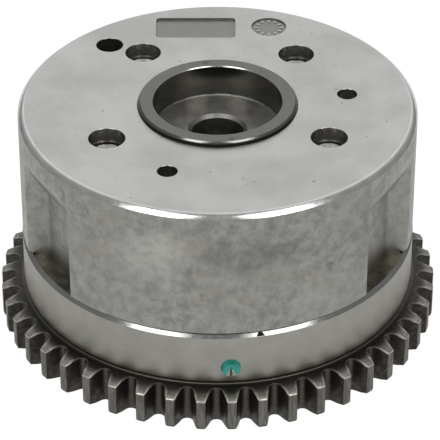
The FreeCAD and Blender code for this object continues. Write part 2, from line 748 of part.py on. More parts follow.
def check_and_write():
    """Stop on any failed feature or bad solid, then write each piece."""
    doc.recompute()
    for item in doc.Objects:
        if "Invalid" in item.State or "Error" in item.State:
            raise RuntimeError("failed feature: " + item.Name)
    pieces = [item for item in doc.Objects if item.isDerivedFrom("PartDesign::Body")]
    for piece in pieces:
        shape = piece.Shape
        if shape.isNull() or not shape.isValid() or len(shape.Solids) != 1:
            raise RuntimeError("bad solid: " + piece.Label)
    os.makedirs("parts", exist_ok=True)
    for piece in pieces:
        piece.Shape.exportStep("parts/%s.step" % piece.Label)
        print("%s %.1f mm3" % (piece.Label, piece.Shape.Volume))


fill_sheet()
make_sprocket()
make_housing()
make_rotor()
make_sleeve()
make_seals()
make_lock_pin()
make_lock_retainer()
make_lock_spring()
make_lock_seat()
for number_of_screw, lobe_angle in enumerate(LOBES, start=1):
    make_screw("housing_screw_%d" % number_of_screw, lobe_angle)
make_dowel()
check_and_write()
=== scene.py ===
import math

import bmesh
import bpy
from mathutils import Matrix, Vector


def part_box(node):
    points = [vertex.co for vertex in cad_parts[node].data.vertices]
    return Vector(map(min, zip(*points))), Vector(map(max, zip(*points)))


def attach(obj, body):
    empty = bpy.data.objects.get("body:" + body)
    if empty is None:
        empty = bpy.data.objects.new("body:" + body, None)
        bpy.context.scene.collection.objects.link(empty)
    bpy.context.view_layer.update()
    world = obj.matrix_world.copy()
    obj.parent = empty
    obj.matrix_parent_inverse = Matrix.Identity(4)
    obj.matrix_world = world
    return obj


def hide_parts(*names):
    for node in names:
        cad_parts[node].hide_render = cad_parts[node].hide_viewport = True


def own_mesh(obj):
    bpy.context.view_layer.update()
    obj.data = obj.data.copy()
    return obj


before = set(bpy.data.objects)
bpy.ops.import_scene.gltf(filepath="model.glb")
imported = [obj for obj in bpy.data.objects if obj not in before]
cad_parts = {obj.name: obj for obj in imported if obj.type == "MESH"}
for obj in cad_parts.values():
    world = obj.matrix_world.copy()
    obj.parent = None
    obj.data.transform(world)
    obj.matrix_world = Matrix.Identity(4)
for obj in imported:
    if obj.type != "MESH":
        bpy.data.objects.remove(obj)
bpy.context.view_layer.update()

# Cam phaser. The turning axis is Z, the sprocket's rear face is z = 0 and the front faces +Z.
# Sizes are in millimetres and angles in degrees from +X, as on the drawing; MM makes metres.
MM = 0.001
FIT = 0.02

# Chain wheel
TEETH = 46
HALF_PITCH = 180.0 / TEETH
TIP_RADIUS = 46.6
ROOT_RADIUS = 43.0
ROOT_ROUND = 1.22
TIP_ROUND = 0.24
FLANK_ANGLE = 22
CLOCKING = -90.3
TOOTH_WIDTH = 8.2
FRONT_DROP = 0.95
REAR_BEVEL = 0.4
REAR_SLOPE = 0.8 / 0.4
LEDGE_RADIUS = 42.15
LEDGE_TOP = 8.7
UNDERCUT = 0.12
BAND_RADIUS = 41.6
BAND_CHAMFER = 0.8
BAND_LIP = 0.45
FLANGE_FACE = 19.95
JOURNAL_RADIUS = 16.0
RELIEF_INNER = 31.5
RELIEF_OUTER = 38.5
RELIEF_DEPTH = 5.0
THREAD_DEPTH = 12.0
DOWEL_DEPTH = 8.0
LOCK_SEAT_RADIUS = 5.5
LOCK_SEAT_DEPTH = 4.5
MARK_ANGLE = -86.25
MARK_HEIGHT = 12.3
MARK_RADIUS = 2.15
NOTCH_ANGLE = -77.9

# Housing
HOUSING_RADIUS = 41.5
FRONT_FACE = 49.35
FACE_CHAMFER = ((0.0, 1.05), (0.08, 0.93), (0.86, 0.2), (1.12, 0.06), (1.4, 0.0), (1.55, 0.0))
FOOT_STEPS = ((0.0, 1.1), (0.25, 1.1), (0.6, 0.55))
FOOT_TOP = 0.95
CHAMBER_RADIUS = 36.8
CHAMBER_TOP = FRONT_FACE - 4.5
POCKET_FLOOR = 37.15
POCKET_HALF_WIDTH = 6.4
POCKET_SLOPE = 0.9
POCKET_REACH = 19
FINE_REACH = 16.0
POCKET_BEND = 36.35
POCKET_TOP = 43.95
LOBE_TIP_RADIUS = 19.1
LOBE_HALF_ANGLE = 14.5
LOBE_SLOT_FLOOR = 21.65
LOBES = (-149.6, -29.6, 50.1, 127.5)
NEXT_LOBES = (*LOBES[1:], LOBES[0] + 360)
BOLT_CIRCLE = 26.15
SCREW_HOLE = 2.25
COUNTERBORE = 3.75
SMALL_CIRCLE = 27.3
SMALL_HOLE = 2.05
VENT_ANGLE = -111.6
TOOL_HOLE_ANGLE = 8.15
DOWEL_ANGLE = 134.1
DOWEL_CIRCLE = 33.3
DOWEL_RADIUS = 2.5
DOWEL_HOLE = 2.85
PLATE_CENTRE = (-4.75, 31.2)
PLATE_SIZE = (17.2, 8.4)
PLATE_CORNER = 0.9
PLATE_DEPTH = 0.5
DIAL_CENTRE = (11.1, 31.6)
DIAL_RADIUS = 3.8
DIAL_DEPTH = 0.35
TICKS = 12

# Rotor and sleeve
ROTOR_REAR = FLANGE_FACE + 0.05
ROTOR_FRONT = CHAMBER_TOP - 0.05
HUB_RADIUS = 19.0
VANE_TIP_RADIUS = 36.7
VANE_SLOT_FLOOR = 33.65
VANES = ((-89.6, 32.8), (10.25, 8.0), (88.8, 8.0), (168.95, 8.0))
SLOT_HALF = 0.8
NOSE_RADIUS = 15.0
NOSE_FLOOR = ROTOR_REAR + 6.0
BOLT_HOLE = 5.5
BOLT_SEAT = 43.15
LOCK_ANGLE = VENT_ANGLE + 12.5
LOCK_BORE = 4.05
CAM_DOWEL_RADIUS = 2.0
CAM_DOWEL_PLACE = (10.0, 60.0)
CAM_DOWEL_DEPTH = 4.5
OIL_HOLE = 1.25
REAR_OIL_LEVEL = 23.05
FRONT_OIL_LEVEL = 33.35
SLEEVE_SEAT = BOLT_SEAT - 1.5
SLEEVE_RADIUS = 16.6
SLEEVE_BORE = 13.38
SLEEVE_TOP = FRONT_FACE + 1.03

# Screws, from under the head
SHANK = 32.0
SHANK_RADIUS = 2.0
HEAD_RADIUS = 3.5
HEAD_HEIGHT = 4.0
HEX_HALF = 1.5
HEX_FLOOR = 2.0

# Places of a piece's finishes in its list
TOOTH, BAND, COVERED, PAINT, GROOVE, FRONT_WEAR_AND_SHEEN, EDGE_WEAR_AND_SHEEN = range(7)
SIDE, FRONT, HOLE, INSIDE, RECESS, EDGE = range(6)

# Marks on the housing's side: angle, height, reach, share and shade
SIDE_MARKS = (
    (-112, 38, 9, 0.6, 0.43), (-103, 36, 7, 0.5, 0.42), (-104, 41, 6, 0.65, 0.47),
    (-80, 39, 6.5, 0.9, 0.15), (-89, 39.5, 5.5, 0.8, 0.15), (-71, 39.5, 5, 0.8, 0.16),
    (-56.9, 32.9, 1.8, 0.9, 0.1), (-98.3, 35.7, 2.4, 0.7, 0.13), (-75, 46.3, 2.6, 0.7, 0.13),
    (-62, 26, 7, 0.45, 0.36), (-45, 40, 9, 0.4, 0.18))


# Shapes

def polar(radius, angle):
    """The (x, y) of a point at a radius and an angle."""
    turn = math.radians(angle)
    return radius * math.cos(turn), radius * math.sin(turn)


def arc(radius, start, end, steps):
    """Points on an arc, both ends included."""
    return [polar(radius, start + (end - start) * step / steps) for step in range(steps + 1)]


def new_piece(name, build, finishes):
    """Turn a bmesh into an object at the origin, in metres."""
    bmesh.ops.scale(build, vec=(MM, MM, MM), verts=build.verts)
    mesh = bpy.data.meshes.new(name)
    build.to_mesh(mesh)
    build.free()
    for finish in finishes:
        mesh.materials.append(finish)
    piece = bpy.data.objects.new(name, mesh)
    bpy.context.scene.collection.objects.link(piece)
    return piece


def soften(piece, angle=28):
    """Smooth shading with crisp edges where the faces turn sharply."""
    piece.data.shade_smooth()
    piece.data.set_sharp_from_angle(angle=math.radians(angle))


def add_rings(build, rings, finish_of, closed):
    """Join rings of points with faces; a ring of one point closes to a pole."""
    pairs = list(zip(rings, rings[1:]))
    if closed:
        pairs.append((rings[-1], rings[0]))
    for index, (low, high) in enumerate(pairs):
        count = max(len(low), len(high))
        if count == 1:
            continue
        for step in range(count):
            after = (step + 1) % count
            corners = [low[step % len(low)], low[after % len(low)],
                       high[after % len(high)], high[step % len(high)]]
            face = build.faces.new(list(dict.fromkeys(corners)))
            face.material_index = finish_of[index] if finish_of else 0


def ring_of_points(build, radius, height, angles):
    """A ring of vertices, or one on the axis."""
    if radius == 0:
        return [build.verts.new((0, 0, height))]
    return [build.verts.new((*polar(radius, angle), height)) for angle in angles]


def turned(corners, angles, finish_of=None, closed=True):
    """Turn an outline of (radius, height) corners about the axis."""
    build = bmesh.new()
    rings = [ring_of_points(build, radius, height, angles) for radius, height in corners]
    add_rings(build, rings, finish_of, closed)
    if closed:
        bmesh.ops.recalc_face_normals(build, faces=build.faces)
    return build


def even_angles(count, start=0.0):
    return [start + 360.0 * step / count for step in range(count)]


def prism(outline, low, high, finish=0):
    """A straight block over a flat outline of (x, y) corners."""
    build = bmesh.new()
    floor = [build.verts.new((x, y, low)) for x, y in outline]
    roof = [build.verts.new((x, y, high)) for x, y in outline]
    build.faces.new(floor[::-1])
    build.faces.new(roof)
    for step in range(len(outline)):
        after = (step + 1) % len(outline)
        build.faces.new((floor[step], floor[after], roof[after], roof[step]))
    for face in build.faces:
        face.material_index = finish
    return build


def lay(cutter, place, angle=0, tilt=90, finish=0):
    """Move a turned cutter to a place, its axis tilted outwards at an angle round the part."""
    for face in cutter.faces:
        face.material_index = finish
    turn = Matrix.Rotation(math.radians(angle), 4, "Z") @ Matrix.Rotation(
        math.radians(tilt), 4, "Y")
    bmesh.ops.transform(cutter, matrix=Matrix.Translation(place) @ turn, verts=cutter.verts)
    return cutter


def drill(corners, place, finish, count=64):
    """A turned cutter stood upright at an (x, y) place."""
    return lay(turned(corners, even_angles(count)), (*place, 0), tilt=0, finish=finish)


def cut(piece, cutters):
    """Take cutters that don't overlap one another out of a piece."""
    joined = bmesh.new()
    for cutter in cutters:
        spare = bpy.data.meshes.new("spare")
        cutter.to_mesh(spare)
        cutter.free()
        joined.from_mesh(spare)
        bpy.data.meshes.remove(spare)
    tool = new_piece("tool", joined, piece.data.materials)
    modifier = piece.modifiers.new("cut", "BOOLEAN")
    modifier.operation = "DIFFERENCE"
    modifier.solver = "EXACT"
    modifier.object = tool
    settle(piece)
    bpy.data.objects.remove(tool)


def settle(piece):
    """Replace the mesh by what its modifiers make of it."""
    seen = piece.evaluated_get(bpy.context.evaluated_depsgraph_get())
    mesh = bpy.data.meshes.new_from_object(seen)
    piece.modifiers.clear()
    piece.data = mesh


# Nodes

def feed(tree, socket, value):
    """Link a socket to another one, or set its value."""
    if isinstance(value, bpy.types.NodeSocket):
        tree.links.new(value, socket)
    else:
        socket.default_value = value


def add_node(tree, kind, settings=None, inputs=None):
    """A new node with its settings made and its inputs linked or set."""
    made = tree.nodes.new(kind)
    for key, value in (settings or {}).items():
        setattr(made, key, value)
    for key, value in (inputs or {}).items():
        feed(tree, made.inputs[key], value)
    return made


def calculate(tree, operation, *values):
    """Result of a math node on sockets or numbers."""
    made = add_node(tree, "ShaderNodeMath", {"operation": operation}, dict(enumerate(values)))
    return made.outputs[0]


def ramp(tree, value, low, high, start=0.0, end=1.0):
    """Smooth step from start to end while the value goes from low to high."""
    made = add_node(tree, "ShaderNodeMapRange", {"interpolation_type": "SMOOTHSTEP"}, {
        "Value": value, "From Min": low, "From Max": high, "To Min": start, "To Max": end})
    return made.outputs[0]


# Finishes

class Finish:
    """A finish whose nodes are added one after another."""

    def __init__(self, name, metallic=1.0):
        self.material = bpy.data.materials.new(name)
        self.material.use_nodes = True
        self.tree = self.material.node_tree
        self.shader = self.tree.nodes["Principled BSDF"]
        self.shader.inputs["Metallic"].default_value = metallic
        self.place = self.node("ShaderNodeTexCoord").outputs["Object"]
        split = self.node("ShaderNodeSeparateXYZ", Vector=self.place)
        self.x, self.y, self.z = split.outputs
        self.relief = None

    def node(self, kind, settings=None, **inputs):
        return add_node(self.tree, kind, settings, inputs)

    def calc(self, operation, *values):
        return calculate(self.tree, operation, *values)

    def times(self, first, second):
        return self.calc("MULTIPLY", first, second)

    def plus(self, first, second):
        return self.calc("ADD", first, second)

    def stretched(self, across, along):
        """Object coordinates squeezed across or along the turning axis."""
        return self.node("ShaderNodeMapping", Vector=self.place,
                         Scale=(across, across, along)).outputs[0]

    def noise(self, size, detail=3.0, rough=0.55, place=None):
        """Cloudy noise whose patches are about size millimetres wide."""
        made = self.node("ShaderNodeTexNoise", Vector=place or self.place,
                         Scale=1.0 / (size * MM), Detail=detail, Roughness=rough)
        return made.outputs["Fac"]

    def remap(self, value, low, high, start=0.0, end=1.0):
        return ramp(self.tree, value, low, high, start, end)

    def mix(self, factor, first, second):
        """Blend of two colours, each a socket or red, green and blue."""
        first, second = (value if isinstance(value, bpy.types.NodeSocket) else (*value, 1.0)
                         for value in (first, second))
        made = add_node(self.tree, "ShaderNodeMix", {"data_type": "RGBA"},
                        {0: factor, 6: first, 7: second})
        return made.outputs[2]

    def tint(self, color, mask, share, other):
        """The colour with a share of another where the mask is 1."""
        return self.mix(self.times(mask, share), color, other)

    def raise_by(self, height, depth):
        """Stack a bump whose full height is depth millimetres."""
        made = self.node("ShaderNodeBump", Height=height, Strength=1.0, Distance=depth * MM)
        if self.relief is not None:
            feed(self.tree, made.inputs["Normal"], self.relief)
        self.relief = made.outputs[0]

    def turning_lines(self, scale, distortion, depth):
        """Fine rings left by the lathe."""
        lines = self.node("ShaderNodeTexWave", {"wave_type": "RINGS", "rings_direction": "Z"},
                          Vector=self.place, Scale=scale, Distortion=distortion, Detail=1.0)
        self.raise_by(lines.outputs["Fac"], depth)

    def spot(self, centre, reach, rough=0.35):
        """1 at a point given in millimetres, fading to 0 at its ragged rim."""
        far = add_node(self.tree, "ShaderNodeVectorMath", {"operation": "DISTANCE"},
                       {0: self.place, 1: tuple(value * MM for value in centre)})
        ragged = self.times(self.noise(reach / 2, 3), 2 * rough * reach * MM)
        return self.remap(self.plus(far.outputs["Value"], ragged),
                          (1 + rough) * reach * MM, 0.45 * reach * MM)

    def radius(self):
        """Distance from the turning axis."""
        return self.calc("SQRT", self.plus(self.times(self.x, self.x), self.times(self.y, self.y)))

    def by_radius(self, low, high):
        """Smooth step outwards between two radii in millimetres."""
        return self.remap(self.radius(), low * MM, high * MM)

    def by_height(self, low, high):
        """Smooth step upwards between two heights in millimetres."""
        return self.remap(self.z, low * MM, high * MM)

    def done(self, color, patch, start, end, low=0.3, high=0.7):
        """Set colour, relief and a roughness that goes from start to end with the patches."""
        made = {"Base Color": color, "Roughness": self.remap(patch, low, high, start, end)}
        if self.relief is not None:
            made["Normal"] = self.relief
        for key, value in made.items():
            feed(self.tree, self.shader.inputs[key], value)
        return self.material


def ground_front():
    """Ground front face: satin, faint clouds, a few tiny pits."""
    steel = Finish("ground_front")
    clouds = steel.noise(14, 4)
    color = steel.mix(steel.remap(clouds, 0.3, 0.7), (0.42, 0.422, 0.407), (0.525, 0.525, 0.512))
    stain = steel.remap(steel.noise(5, 5, 0.7), 0.58, 0.75)
    color = steel.tint(color, stain, 0.35, (0.38, 0.372, 0.35))
    pits = steel.remap(steel.noise(1.1, 1), 0.745, 0.79)
    color = steel.tint(color, pits, 0.8, (0.12, 0.115, 0.105))
    steel.raise_by(steel.noise(0.25, 2), 0.004)
    return steel.done(color, clouds, 0.3, 0.38, 0.25, 0.75)


def turned_edge(name, dark, light):
    """Narrow chamfer left by the last cut, with fine feed lines."""
    steel = Finish(name)
    streak = steel.noise(0.35, 3, 0.6, steel.stretched(0.06, 1.0))
    color = steel.mix(steel.noise(3, 3), (dark, dark, dark * 0.97), (light, light, light * 0.98))
    color = steel.mix(steel.remap(streak, 0.5, 0.75, 0.0, 0.35), color,
                      (dark * 0.6, dark * 0.6, dark * 0.58))
    steel.raise_by(streak, 0.006)
    return steel.done(color, steel.noise(2, 3), 0.14, 0.22)


def cast_side():
    """Cast and bead-blasted side: fine mottle, brown patches, lighter and darker spots at listed
    places, painted shade low in the pockets.
    """
    steel = Finish("cast_side")
    wide = steel.noise(11, 3, 0.5)
    grain = steel.noise(2.4, 7, 0.74)
    color = steel.mix(steel.remap(grain, 0.34, 0.66), (0.215, 0.217, 0.202), (0.33, 0.332, 0.313))
    color = steel.mix(steel.remap(wide, 0.35, 0.65, 0.0, 0.5), color, (0.3, 0.3, 0.279))
    brown = steel.remap(steel.noise(6, 4, 0.6, steel.stretched(0.8, 1.4)), 0.5, 0.7)
    color = steel.tint(color, brown, 0.5, (0.31, 0.275, 0.24))
    scuff = steel.remap(steel.noise(1.7, 3, 0.65), 0.63, 0.72)
    color = steel.tint(color, scuff, 0.35, (0.15, 0.15, 0.14))
    ragged = steel.remap(steel.noise(2.2, 5, 0.65), 0.4, 0.6, 0.45, 1.0)
    for angle, height, reach, share, shade in SIDE_MARKS:
        mark = steel.spot((*polar(HOUSING_RADIUS, angle), height), reach)
        mark = steel.times(mark, ragged)
        color = steel.tint(color, mark, share, (shade, shade, shade * 0.93))
    # Painted shade: the pocket walls darken raggedly towards the flange, deep in the pockets.
    deep = steel.by_radius(HOUSING_RADIUS - 0.3, HOUSING_RADIUS - 3.0)
    uneven = steel.plus(steel.z, steel.times(steel.noise(4, 3), 5 * MM))
    low = steel.remap(uneven, (FLANGE_FACE + 13.55) * MM, (FLANGE_FACE + 3.25) * MM, 0.12, 0.5)
    pocket_shade = steel.times(deep, low)
    color = steel.mix(pocket_shade, color, (0.07, 0.066, 0.056))
    steel.raise_by(grain, 0.022)
    steel.raise_by(steel.noise(0.4, 2), 0.01)
    return steel.done(color, grain, 0.5, 0.4)


def drilled():
    """Walls of the holes, darker with old oil."""
    steel = Finish("drilled")
    color = steel.mix(steel.noise(2, 3), (0.2, 0.195, 0.175), (0.36, 0.355, 0.33))
    rings = steel.noise(0.3, 2, 0.5, steel.stretched(0.05, 1.0))
    steel.raise_by(rings, 0.01)
    return steel.done(color, rings, 0.28, 0.42)


def etched():
    """Floors of the two shallow marking recesses."""
    steel = Finish("etched")
    color = steel.mix(steel.noise(3, 4), (0.235, 0.237, 0.222), (0.3, 0.302, 0.286))
    steel.raise_by(steel.noise(0.35, 2), 0.015)
    return steel.done(color, steel.noise(1.5, 3), 0.4, 0.5)


def machined():
    """Faces that other pieces hide or cover; the rim left in the pockets is brown with oil."""
    steel = Finish("machined")
    color = steel.mix(steel.noise(6, 3), (0.3, 0.3, 0.29), (0.38, 0.38, 0.37))
    rim = steel.times(steel.by_radius(CHAMBER_RADIUS - 0.2, POCKET_FLOOR - 0.05),
                      steel.by_height(FLANGE_FACE - 0.45, FLANGE_FACE - 0.15))
    oil = steel.mix(steel.remap(steel.noise(3.5, 4, 0.6), 0.38, 0.62), (0.22, 0.205, 0.17),
                    (0.42, 0.385, 0.3))
    color = steel.mix(rim, color, oil)
    steel.turning_lines(900.0, 0.6, 0.003)
    return steel.done(color, steel.noise(4, 3), 0.28, 0.4)


def band_steel():
    """Turned flange band: even warm grey, darkening to brown along its foot."""
    steel = Finish("band_steel")
    patch = steel.noise(6, 3, 0.55)
    color = steel.mix(steel.remap(patch, 0.3, 0.7), (0.295, 0.29, 0.263), (0.36, 0.35, 0.318))
    tint = steel.remap(steel.noise(4.5, 3, 0.6), 0.5, 0.7)
    color = steel.tint(color, tint, 0.45, (0.32, 0.295, 0.275))
    uneven = steel.times(steel.noise(3.2, 3, 0.6), 1.5 * MM)
    foot = steel.remap(steel.calc("SUBTRACT", steel.z, uneven), (LEDGE_TOP + 1.2) * MM,
                       (LEDGE_TOP - 0.8) * MM)
    color = steel.tint(color, foot, 0.75, (0.13, 0.106, 0.066))
    steel.raise_by(steel.noise(0.25, 2, 0.5, steel.stretched(0.03, 1.0)), 0.0015)
    return steel.done(color, patch, 0.45, 0.51)


def tooth_steel():
    """Heat-treated teeth: near black on the flanks, greyer on the tips, with a painted highlight in
    the roots.
    """
    steel = Finish("tooth_steel")
    mottle = steel.noise(1.1, 4, 0.6)
    color = steel.mix(steel.remap(mottle, 0.3, 0.7), (0.034, 0.031, 0.026), (0.064, 0.059, 0.05))
    ledge = steel.by_height(LEDGE_TOP - 0.4, LEDGE_TOP - 0.2)
    color = steel.mix(ledge, color, (0.14, 0.135, 0.12))
    # Painted highlight along the bottom of each root round.
    root_highlight = steel.by_radius(ROOT_RADIUS + 0.4, ROOT_RADIUS + 0.1)
    color = steel.tint(color, root_highlight, 0.7, (0.09, 0.086, 0.076))
    tip = steel.by_radius(TIP_RADIUS - 0.2, TIP_RADIUS - 0.05)
    streaks = steel.noise(0.5, 3, 0.6, steel.stretched(1.0, 0.12))
    land = steel.mix(steel.remap(streaks, 0.35, 0.65), (0.12, 0.114, 0.1), (0.19, 0.182, 0.162))
    color = steel.tint(color, tip, 0.92, land)
    steel.raise_by(mottle, 0.012)
    return steel.done(color, mottle, 0.55, 0.42)


def tooth_wear_and_sheen(name, inner, outer):
    """Front faces and edges of the teeth, brighter towards the tips: partly rubbed by the chain,
    partly a painted reflection of the bright room.
    """
    steel = Finish(name)
    mottle = steel.noise(0.8, 4, 0.6)
    reach = steel.plus(steel.radius(), steel.times(mottle, 0.9 * MM))
    # Partly chain wear, partly painted reflection: brighter towards the tip.
    wear_and_sheen = steel.remap(reach, (ROOT_RADIUS + 1.1) * MM, (TIP_RADIUS + 0.2) * MM)
    color = steel.mix(wear_and_sheen, inner, outer)
    color = steel.mix(steel.remap(mottle, 0.35, 0.65, 0.3, 0.0), color, (0.06, 0.055, 0.047))
    steel.raise_by(mottle, 0.01)
    return steel.done(color, mottle, 0.42, 0.3)


def marking_paint():
    """Teal paint dabbed in the drill point, with painted shade down its left side; a wedge at the
    foot of the cone stayed bare.
    """
    steel = Finish("marking_paint", metallic=0.0)
    edge = steel.plus(steel.z, steel.times(steel.noise(0.8, 2), 0.8 * MM))
    across = steel.calc("SUBTRACT", steel.x, polar(BAND_RADIUS, MARK_ANGLE)[0] * MM)
    aside = steel.calc("ABSOLUTE", across)
    spread = steel.plus(edge, steel.times(aside, 1.3))
    covered = steel.remap(spread, (MARK_HEIGHT - 0.35) * MM, (MARK_HEIGHT - 0.05) * MM)
    shade = steel.mix(steel.noise(0.9, 3), (0.01, 0.19, 0.15), (0.03, 0.36, 0.29))
    # Painted shade on the left side of the cone.
    shade = steel.mix(steel.remap(across, -2.1 * MM, -1.3 * MM, 0.85, 0.0), shade,
                      (0.01, 0.03, 0.026))
    bare = steel.mix(steel.remap(aside, 0.08 * MM, 0.4 * MM), (0.12, 0.12, 0.11), (0.66, 0.64, 0.6))
    color = steel.mix(covered, bare, shade)
    feed(steel.tree, steel.shader.inputs["Metallic"], steel.remap(covered, 0.4, 0.6, 1.0, 0.0))
    steel.raise_by(covered, 0.03)
    return steel.done(color, steel.noise(0.7, 2), 0.22, 0.32)


def sleeve_steel():
    """Dark turned sleeve with fine feed marks, two scuffs, painted shade on its outer wall and a
    bright edge on its bore.
    """
    steel = Finish("dark_sleeve")
    marks = steel.noise(0.28, 2, 0.5, steel.stretched(0.02, 1.0))
    color = steel.mix(steel.noise(4, 3), (0.128, 0.128, 0.119), (0.17, 0.17, 0.16))
    for centre in ((-2.6, 14.8, SLEEVE_TOP), (2.9, -15.1, SLEEVE_TOP)):
        scuff = steel.spot(centre, 0.9, 0.2)
        color = steel.tint(color, scuff, 0.6, (0.05, 0.05, 0.046))
    # Painted shade: the outer wall near black.
    outer = steel.by_radius(SLEEVE_RADIUS - 0.14, SLEEVE_RADIUS - 0.08)
    color = steel.mix(outer, color, (0.035, 0.034, 0.031))
    inner = steel.by_radius(SLEEVE_BORE + 0.1, SLEEVE_BORE + 0.04)
    color = steel.mix(inner, color, (0.24, 0.235, 0.21))
    lip = steel.times(steel.by_radius(SLEEVE_BORE + 0.22, SLEEVE_BORE + 0.16),
                      steel.by_height(SLEEVE_TOP - 0.2, SLEEVE_TOP - 0.12))
    color = steel.mix(lip, color, (0.42, 0.41, 0.38))
    steel.raise_by(marks, 0.004)
    return steel.done(color, marks, 0.15, 0.23)


def rotor_steel():
    """Rotor floor and bore, dark with oil; the corner round catches the light in places."""
    steel = Finish("oiled_rotor")
    patch = steel.noise(3, 4, 0.6)
    color = steel.mix(steel.remap(patch, 0.3, 0.7), (0.15, 0.147, 0.137), (0.22, 0.216, 0.204))
    corner = steel.times(steel.by_radius(SLEEVE_BORE - 0.13, SLEEVE_BORE - 0.06),
                         steel.by_height(BOLT_SEAT + 0.2, BOLT_SEAT + 0.3))
    broken = steel.remap(steel.noise(2.4, 2), 0.4, 0.55, 0.25, 1.0)
    color = steel.tint(color, corner, broken, (0.5, 0.49, 0.46))
    steel.turning_lines(1100.0, 0.8, 0.004)
    return steel.done(color, patch, 0.42, 0.5)


def screw_steel():
    """Screw heads: dark oxide, mottled lighter and darker in patches."""
    steel = Finish("oxide_screw")
    patch = steel.noise(1.2, 4, 0.6)
    color = steel.mix(steel.remap(patch, 0.35, 0.7), (0.3, 0.295, 0.275), (0.52, 0.51, 0.48))
    steel.raise_by(patch, 0.006)
    return steel.done(color, patch, 0.26, 0.16)


def plain_steel(name, dark, light, rough):
    """Ground steel for the small inner pieces."""
    steel = Finish(name)
    patch = steel.noise(1.5, 3)
    color = steel.mix(patch, (dark, dark, dark * 0.97), (light, light, light * 0.97))
    steel.raise_by(steel.noise(0.2, 2), 0.004)
    return steel.done(color, patch, rough, rough + 0.1)


def seal_plastic():
    """Black plastic of the seals."""
    plastic = Finish("black_seal", metallic=0.0)
    patch = plastic.noise(1.5, 3)
    color = plastic.mix(patch, (0.012, 0.012, 0.013), (0.03, 0.03, 0.032))
    plastic.raise_by(plastic.noise(0.2, 2), 0.006)
    return plastic.done(color, patch, 0.45, 0.6)


# Repeats

def new_tree(name, sockets):
    """A geometry tree with its mesh input and output and named sizes."""
    tree = bpy.data.node_groups.new(name, "GeometryNodeTree")
    tree.interface.new_socket("Geometry", in_out="INPUT", socket_type="NodeSocketGeometry")
    for label, kind in sockets:
        tree.interface.new_socket(label, in_out="INPUT", socket_type="NodeSocket" + kind)
    tree.interface.new_socket("Geometry", in_out="OUTPUT", socket_type="NodeSocketGeometry")
    return tree, tree.nodes.new("NodeGroupInput"), tree.nodes.new("NodeGroupOutput")


def apply_tree(piece, tree, values):
    """Run the tree on a piece with its named inputs set, and keep the plain mesh."""
    modifier = piece.modifiers.new(tree.name, "NODES")
    modifier.node_group = tree
    for socket in tree.interface.items_tree:
        if socket.in_out == "INPUT" and socket.name in values:
            modifier[socket.identifier] = values[socket.name]
    settle(piece)


def finish_tree(tree, source, given, out, merge):
    """Close a tree: real geometry, joined seams, one finish."""
    real = add_node(tree, "GeometryNodeRealizeInstances", inputs={"Geometry": source})
    weld = add_node(tree, "GeometryNodeMergeByDistance", inputs={
        "Geometry": real.outputs[0], "Distance": merge})
    dress = add_node(tree, "GeometryNodeSetMaterial", inputs={
        "Geometry": weld.outputs[0], "Material": given.outputs["Finish"]})
    tree.links.new(dress.outputs[0], out.inputs["Geometry"])


def ring_tree():
    """Repeat the piece's own mesh evenly round a centre."""
    tree, given, out = new_tree("repeat_round", (
        ("Count", "Int"), ("First angle", "Float"), ("Centre", "Vector"),
        ("Finish", "Material")))
    points = add_node(tree, "GeometryNodePoints", inputs={
        "Count": given.outputs["Count"], "Position": given.outputs["Centre"]})
    index = add_node(tree, "GeometryNodeInputIndex")
    step = calculate(tree, "DIVIDE", 2 * math.pi, given.outputs["Count"])
    turn = calculate(tree, "MULTIPLY_ADD", index.outputs[0], step, given.outputs["First angle"])
    spin = add_node(tree, "ShaderNodeCombineXYZ", inputs={"Z": turn})
    place = add_node(tree, "GeometryNodeInstanceOnPoints", inputs={
        "Points": points.outputs[0], "Instance": given.outputs["Geometry"],
        "Rotation": spin.outputs[0]})
    finish_tree(tree, place.outputs[0], given, out, 1e-6)
    return tree


def seats_tree():
    """Stand a fastener on every point, each turned by a seeded random angle."""
    tree, given, out = new_tree("stand_on_seats", (
        ("Fastener", "Object"), ("Seed", "Int"), ("Finish", "Material")))
    info = add_node(tree, "GeometryNodeObjectInfo", inputs={"Object": given.outputs["Fastener"]})
    chance = add_node(tree, "FunctionNodeRandomValue", {"data_type": "FLOAT_VECTOR"}, {
        0: (0, 0, 0), 1: (0, 0, 2 * math.pi), "Seed": given.outputs["Seed"]})
    place = add_node(tree, "GeometryNodeInstanceOnPoints", inputs={
        "Points": given.outputs["Geometry"], "Instance": info.outputs["Geometry"],
        "Rotation": chance.outputs[0]})
    finish_tree(tree, place.outputs[0], given, out, 1e-7)
    return tree


# Sprocket

def half_tooth():
    """Points from the middle of a gap to the middle of a tip, about the gap's own middle."""
    centre = ROOT_RADIUS + ROOT_ROUND
    points = []
    for step in range(6):
        dx, dy = polar(ROOT_ROUND, (90 - FLANK_ANGLE) * step / 5)
        points.append(Vector((centre - dx, dy)))
    foot = points[-1]
    flank = Vector(polar(1.0, FLANK_ANGLE))
    ahead = foot.dot(flank)
    reach = math.sqrt(ahead ** 2 + TIP_RADIUS ** 2 - foot.length_squared) - ahead
    corner = foot + flank * reach
    along = Vector((-corner.y, corner.x)).normalized()
    points.append(foot.lerp(corner, 0.5))
    points.append(corner - flank * TIP_ROUND)
    points.append(corner + (along - flank) * TIP_ROUND * 0.3)
    points.append(corner + along * TIP_ROUND)
    points.append(Vector(polar(TIP_RADIUS, HALF_PITCH)))
    return points


def tooth_outline():
    """One whole tooth between two gap middles, about the tooth's own middle."""
    turn = Matrix.Rotation(math.radians(-HALF_PITCH), 2)
    left = [turn @ point for point in half_tooth()]
    return left + [Vector((point.x, -point.y)) for point in left[-2::-1]]


def front_height(radius):
    """Height of a tooth's front face, which falls away in a curve to the tip."""
    out = max(0.0, radius - ROOT_RADIUS) / (TIP_RADIUS - ROOT_RADIUS)
    return TOOTH_WIDTH - FRONT_DROP * out ** 1.8


def rear_height(radius, lift):
    """Height of a tooth's rear face, bevelled towards the tip."""
    return max(lift, (radius - TIP_RADIUS + REAR_BEVEL) * REAR_SLOPE + lift / 2)


